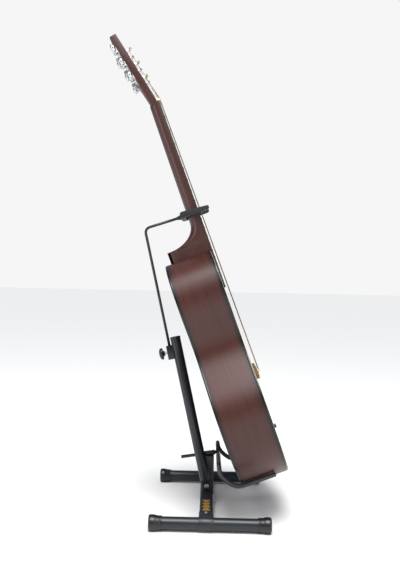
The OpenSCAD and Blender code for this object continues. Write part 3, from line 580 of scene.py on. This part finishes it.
# tuners: three a side, worm and gear in the open behind the head
tuner = dict(first=53, pitch=34, out=24, flare=1.5, wormBack=23, wormUp=10, buttonOut=58,
             buttonRadius=8.5, buttonThick=8, buttonFlat=0.86, gearRadius=5.9, gearThick=3.3,
             gearBack=18.7, toothStep=15, toothDepth=0.6, turnsFrom=5.6, turnRadius=2.75)
easedCopy("tuner_plates", "guitar", brightChrome, 0.35)
gauges = (1.35, 1.1, 0.85, 0.65, 0.45, 0.35)
stringOf = (0, 1, 2, 5, 4, 3)  # the string that each tuner holds
for k in range(6):
    side = -1 if k < 3 else 1
    out = tuner["out"] + tuner["flare"] * (k % 3)
    up = tuner["first"] + tuner["pitch"] * (k % 3)
    spot = headFrame @ frameAt(0, side * out, up)
    gauge = gauges[stringOf[k]]
    # post with its waist and gear
    post = turnShape([(0, -20.5), (1.8, -20.5), (3, -20), (3, 5.4), (2.6, 6.2), (2.6, 10.2), (3, 11),
                      (3, 12.4),
                      (2.4, 13), (1.2, 12.6), (0, 12.5)], 32)
    pickNone()
    bpy.ops.mesh.primitive_cylinder_add(vertices=48, radius=tuner["gearRadius"], depth=tuner["gearThick"],
                                        location=(0, 0, -tuner["gearBack"]))
    gear = bpy.context.object
    editAll(gear)
    work = bmesh.from_edit_mesh(gear.data)
    for face in work.faces:
        angle = math.degrees(math.atan2(face.normal.y, face.normal.x)) % tuner["toothStep"]
        face.select = abs(face.normal.z) < 0.5 and angle < tuner["toothStep"] / 2
    bmesh.update_edit_mesh(gear.data)
    bpy.ops.mesh.select_mode(type="FACE")
    bpy.ops.mesh.extrude_faces_move(TRANSFORM_OT_shrink_fatten={"value": -tuner["toothDepth"]})
    closeEdit()
    post = joinAll(post, gear)
    post.matrix_world = alongX @ post.matrix_world
    postBody = "tuner_post_%d" % (k + 1)
    finishPiece(post, "stringPost%d" % (k + 1), spot, postBody, brightChrome, (postBody,))
    # three turns of string round the post's waist
    turns = []
    around = tuner["turnRadius"] + gauge / 2
    for step in range(73):
        angle = 2 * math.pi * step / 24
        rise = tuner["turnsFrom"] + step / 24 * gauge * 1.05 + gauge / 2
        turns.append((rise, around * math.cos(angle), around * math.sin(angle)))
    finishPiece(wire(turns, gauge / 2, 2), "stringTurns%d" % (k + 1), spot, postBody,
                woundBronze if gauge > 0.5 else plainSteel, (), 60)
    # worm shaft, collars and the oval button
    reach = tuner["buttonOut"] - out
    worm = [(0, -7.5), (2, -7.5), (2, -4.8)]
    for turn in range(6):
        worm += [(2.1, -4.6 + 1.6 * turn), (2.7, -4.2 + 1.6 * turn), (2.7, -3.7 + 1.6 * turn),
                 (2.1, -3.3 + 1.6 * turn)]
    worm += [(2, 5), (2, 9), (2.9, 9.6), (2.9, 10.6), (2, 11.2), (2, reach - 9.4), (2.9, reach - 8.4),
             (2, reach - 6), (0, reach - 6)]
    shaft = turnShape(worm, 24)
    pickNone()
    bpy.ops.mesh.primitive_cylinder_add(vertices=40, radius=tuner["buttonRadius"],
                                        depth=tuner["buttonThick"], location=(0, 0, reach),
                                        rotation=(0, math.pi / 2, 0))
    button = bpy.context.object
    applyPlace(button)
    editAll(button)
    bpy.ops.transform.resize(value=(1, 1, tuner["buttonFlat"]), center_override=(0, 0, reach))
    bpy.ops.object.mode_set(mode="OBJECT")
    roundEdges(button, 3.3, 5)
    shaft = joinAll(shaft, button)
    shaft.matrix_world = Matrix.Rotation(math.radians(-90 * side), 4, "X") @ shaft.matrix_world
    buttonBody = "tuner_button_%d" % (k + 1)
    wormSpot = spot @ frameAt(-tuner["wormBack"], 0, tuner["wormUp"])
    finishPiece(shaft, "tunerButton%d" % (k + 1), wormSpot, buttonBody, brightChrome, (buttonBody,), 40)
print("tuners ready")

# strings: over the saddle and nut, up to the posts
woundOnes, plainOnes = [], []
saddle = guitar["saddleUp"]
overNut = 7.9  # bottom of the string over the nut, above the soundboard
overSaddle = 12.6
for k, gauge in enumerate(gauges):
    atSaddle = (k - 2.5) * guitar["saddleSpacing"]
    atNut = (k - 2.5) * guitar["nutSpacing"]
    holder = stringOf[k]
    side = -1 if holder < 3 else 1
    out = side * (tuner["out"] + tuner["flare"] * (holder % 3) - tuner["turnRadius"] - gauge / 2)
    postUp = tuner["first"] + tuner["pitch"] * (holder % 3)
    end = 1000 * (toGuitar @ (0.001 * Vector((6, out, postUp))))
    line = wire([(8, atSaddle, saddle - 8.2), (9.6, atSaddle, saddle - 5.8),
                 (overSaddle + 0.05 + gauge / 2, atSaddle, saddle - 1.5),
                 (overSaddle + gauge / 2, atSaddle, saddle - 0.3),
                 (overNut + 0.12 + gauge / 2, atNut, nutTop - 1), (overNut + gauge / 2, atNut, nutTop),
                 tuple(end)], gauge / 2, 2)
    (woundOnes if gauge > 0.5 else plainOnes).append(line)
finishPiece(joinAll(*woundOnes), "woundStrings", guitarFrame, "guitar", woundBronze, ("strings",), 60)
finishPiece(joinAll(*plainOnes), "plainStrings", guitarFrame, "guitar", plainSteel, (), 60)
print("strings ready")

# stand base
foot = dict(x=standX + 7.6, gap=340, up=15.4, long=243, capLong=27)
capShape = [(12.55, 22), (12.55, 0.4), (13.3, 0), (13.9, 0.5), (14.1, 2.6), (13.8, 3.2), (14.1, 3.8),
            (14.2, 9.5), (14.9, 12), (15.7, 15.2), (16, 18), (16, 22.5), (15.7, 24.6), (14.9, 26),
            (13.6, 26.8), (11.8, 27), (11.2, 26.6), (0, 26.5), (0, 22.4), (12.55, 22)]
for name, y in (("bass", -foot["gap"] / 2), ("treble", foot["gap"] / 2)):
    easedCopy("foot_tube_" + name, "stand", powderCoat, 0, 2, 40)
    for ending, end in (("front", 1), ("rear", -1)):
        cap = turnShape(capShape, 64)
        cap.matrix_world = Matrix.Rotation(math.radians(90 * end), 4, "Y")
        applyPlace(cap)
        editAll(cap)
        bpy.ops.mesh.bisect(plane_co=(0, 0, -foot["up"]), plane_no=(0, 0, -1), clear_outer=True,
                            use_fill=True)
        closeEdit()
        node = "foot_cap_%s_%s" % (name, ending)
        spot = frameAt(foot["x"] + end * (foot["long"] / 2 - foot["capLong"]), y, foot["up"])
        finishPiece(cap, "footCap" + name.title() + ending.title(), spot, "stand", capRubber, (node,))
easedCopy("crossbar", "stand", powderCoat, 1.2, 3)
easedCopy("tube_saddles", "stand", powderCoat, 0.5)
easedCopy("upright", "stand", powderCoat, 0.9)
easedCopy("post_bolt", "stand", zincSteel, 0.5)
saddleScrew = dict(fromMiddle=148.5, up=17.5)
screwShape = [(0, 14.4), (0.9, 14.4), (1.3, 15.5), (3.2, 15.4), (4.4, 14.5), (4.5, 13.6), (2.4, 13.6),
              (2.4, 0), (0, 0)]
screws = []
for side in (-1, 1):
    screw = turnShape(screwShape, 32)
    screw.matrix_world = Matrix.Translation((standX, side * saddleScrew["fromMiddle"], saddleScrew["up"]))
    applyPlace(screw)
    screws.append(screw)
finishPiece(joinAll(*screws), "saddleScrews", Matrix.Identity(4), "stand", zincSteel,
            ("saddle_screws",))
# a plain pattern of bars printed on the crossbar's top, near its front foot
printed = dict(first=-128, pitch=10.5, up=29.52, wide=5, thick=0.12, lengths=(16, 10, 16, 10, 16, 10, 16))
bars = []
for step, long in enumerate(printed["lengths"]):
    pickNone()
    barSpot = (standX, printed["first"] + printed["pitch"] * step, printed["up"])
    bpy.ops.mesh.primitive_cube_add(size=1, location=barSpot,
                                    scale=(long, printed["wide"], printed["thick"]))
    bar = bpy.context.object
    applyPlace(bar)
    roundEdges(bar, 0.04, 1)
    bars.append(bar)
finishPiece(joinAll(*bars), "printedBars", Matrix.Identity(4), "stand", goldPrint)
print("base ready")

# post, clamp and neck rest
easedCopy("post_tube", "post", powderCoat, 0.3, 1, 40)
easedCopy("post_cap", "post", mouldedNylon, 0.4)
easedCopy("clamp_block", "post", mouldedNylon, 1.6, 3)
keepNode("clamp_screw", zincSteel)
clamp = dict(behind=30, up=305)
clampShape = [(2.5, 0), (5, 0), (5.6, 0.6), (5.4, 2.4), (7, 3.3), (11, 3.9), (12.6, 4.8), (13, 6.4),
              (12.8, 8.4), (11.6, 10), (9, 11.6), (5.5, 12.7), (2.5, 13), (0, 13), (0, 6), (2.5, 6), (2.5, 0)]
clampKnob = turnShape(clampShape, 64)
clampKnob.matrix_world = (Matrix.Translation((-clamp["behind"], 0, clamp["up"]))
                          @ Matrix.Rotation(math.radians(-90), 4, "Y"))
finishPiece(clampKnob, "clampKnob", postFrame, "clamp", mouldedNylon, ("clamp_knob",))
easedCopy("neck_rest_rod", "neck_rest", rodCoat, 0, 2, 60)
forkPart = easedCopy("neck_fork", "neck_rest", mouldedRubber, 2.0, 3)
# the moulding is slimmer from above than its solid
fork = dict(behind=17, up=585, lean=5.3, slim=0.78)
armFrame = postFrame @ frameAt(-fork["behind"], 0, fork["up"], -fork["lean"])
forkPart.data.transform(armFrame @ Matrix.Diagonal((1, 1, fork["slim"], 1)) @ armFrame.inverted())
print("neck rest ready")

# cradle
easedCopy("cradle_frame", "cradle", powderCoat, 0, 2, 60)
easedCopy("sleeve_bass", "cradle", sleeveRubber, 0, 2, 60)
easedCopy("sleeve_treble", "cradle", sleeveRubber, 0, 2, 60)
print("cradle ready")

# floor, light and camera
pickNone()
bpy.ops.mesh.primitive_plane_add(size=60, location=(0, 20, 0))
floor = bpy.context.object
floor.name = "studioFloor"
floorPaper = bpy.data.materials.new("paleFloorPaper")
floorPaper.use_nodes = True
floorShader = floorPaper.node_tree.nodes["Principled BSDF"]
floorShader.inputs["Base Color"].default_value = toLinear("#f6f6f5")
floorShader.inputs["Roughness"].default_value = 0.8
floor.data.materials.append(floorPaper)

world = bpy.data.worlds.new("softRoom")
bpy.context.scene.world = world
world.use_nodes = True
sky = world.node_tree.nodes["Background"]
sky.inputs["Color"].default_value = toLinear("#eef2fa")
sky.inputs["Strength"].default_value = 0.3
# the room lights softly, and its wall is seen white
wall = addNode(world.node_tree, "ShaderNodeBackground", {"Color": toLinear("#ffffff"), "Strength": 0.92})
seen = addNode(world.node_tree, "ShaderNodeLightPath")
room = addNode(world.node_tree, "ShaderNodeMixShader", {0: seen.outputs["Is Camera Ray"], 1: sky.outputs[0],
                                                        2: wall.outputs[0]})
world.node_tree.links.new(room.outputs[0], world.node_tree.nodes["World Output"].inputs["Surface"])

sunData = bpy.data.lights.new("softSkylight", "SUN")
sunData.energy = 2.4
sunData.angle = math.radians(30)
sun = bpy.data.objects.new("softSkylight", sunData)
sun.rotation_euler = (math.radians(20), 0, 0)
bpy.context.collection.objects.link(sun)
# name, place, aim, width, height, power
lamps = [("overheadSoftbox", (0.1, -1.0, 2.3), (0.0, 0.0, 0.45), 2.4, 2.4, 34),
         ("leftSoftbox", (-2.2, -1.0, 1.2), (0.0, 0.0, 0.5), 0.7, 1.8, 16),
         ("frontFill", (1.4, -2.2, 1.0), (0.1, 0.0, 0.4), 1.2, 1.2, 10)]
for name, at, toward, wide, tall, power in lamps:
    light = bpy.data.lights.new(name, "AREA")
    light.shape = "RECTANGLE"
    light.size = wide
    light.size_y = tall
    light.energy = power
    lamp = bpy.data.objects.new(name, light)
    lamp.location = at
    lamp.rotation_euler = (Vector(toward) - Vector(at)).to_track_quat("-Z", "Y").to_euler()
    bpy.context.collection.objects.link(lamp)

camera = dict(at=(0.0241, -1.530, 0.486), yaw=0.77, roll=1.2, lens=43.58)
cameraData = bpy.data.cameras.new("viewCamera")
cameraData.lens = camera["lens"]
cameraData.sensor_width = 36
cameraData.clip_start = 0.05
viewCamera = bpy.data.objects.new("viewCamera", cameraData)
viewCamera.matrix_world = (Matrix.Translation(camera["at"])
                           @ Matrix.Rotation(math.radians(camera["yaw"]), 4, "Z")
                           @ Matrix.Rotation(math.radians(90), 4, "X")
                           @ Matrix.Rotation(math.radians(camera["roll"]), 4, "Z"))
bpy.context.collection.objects.link(viewCamera)
bpy.context.scene.camera = viewCamera
bpy.context.scene.view_settings.view_transform = "Standard"
print("stage ready")
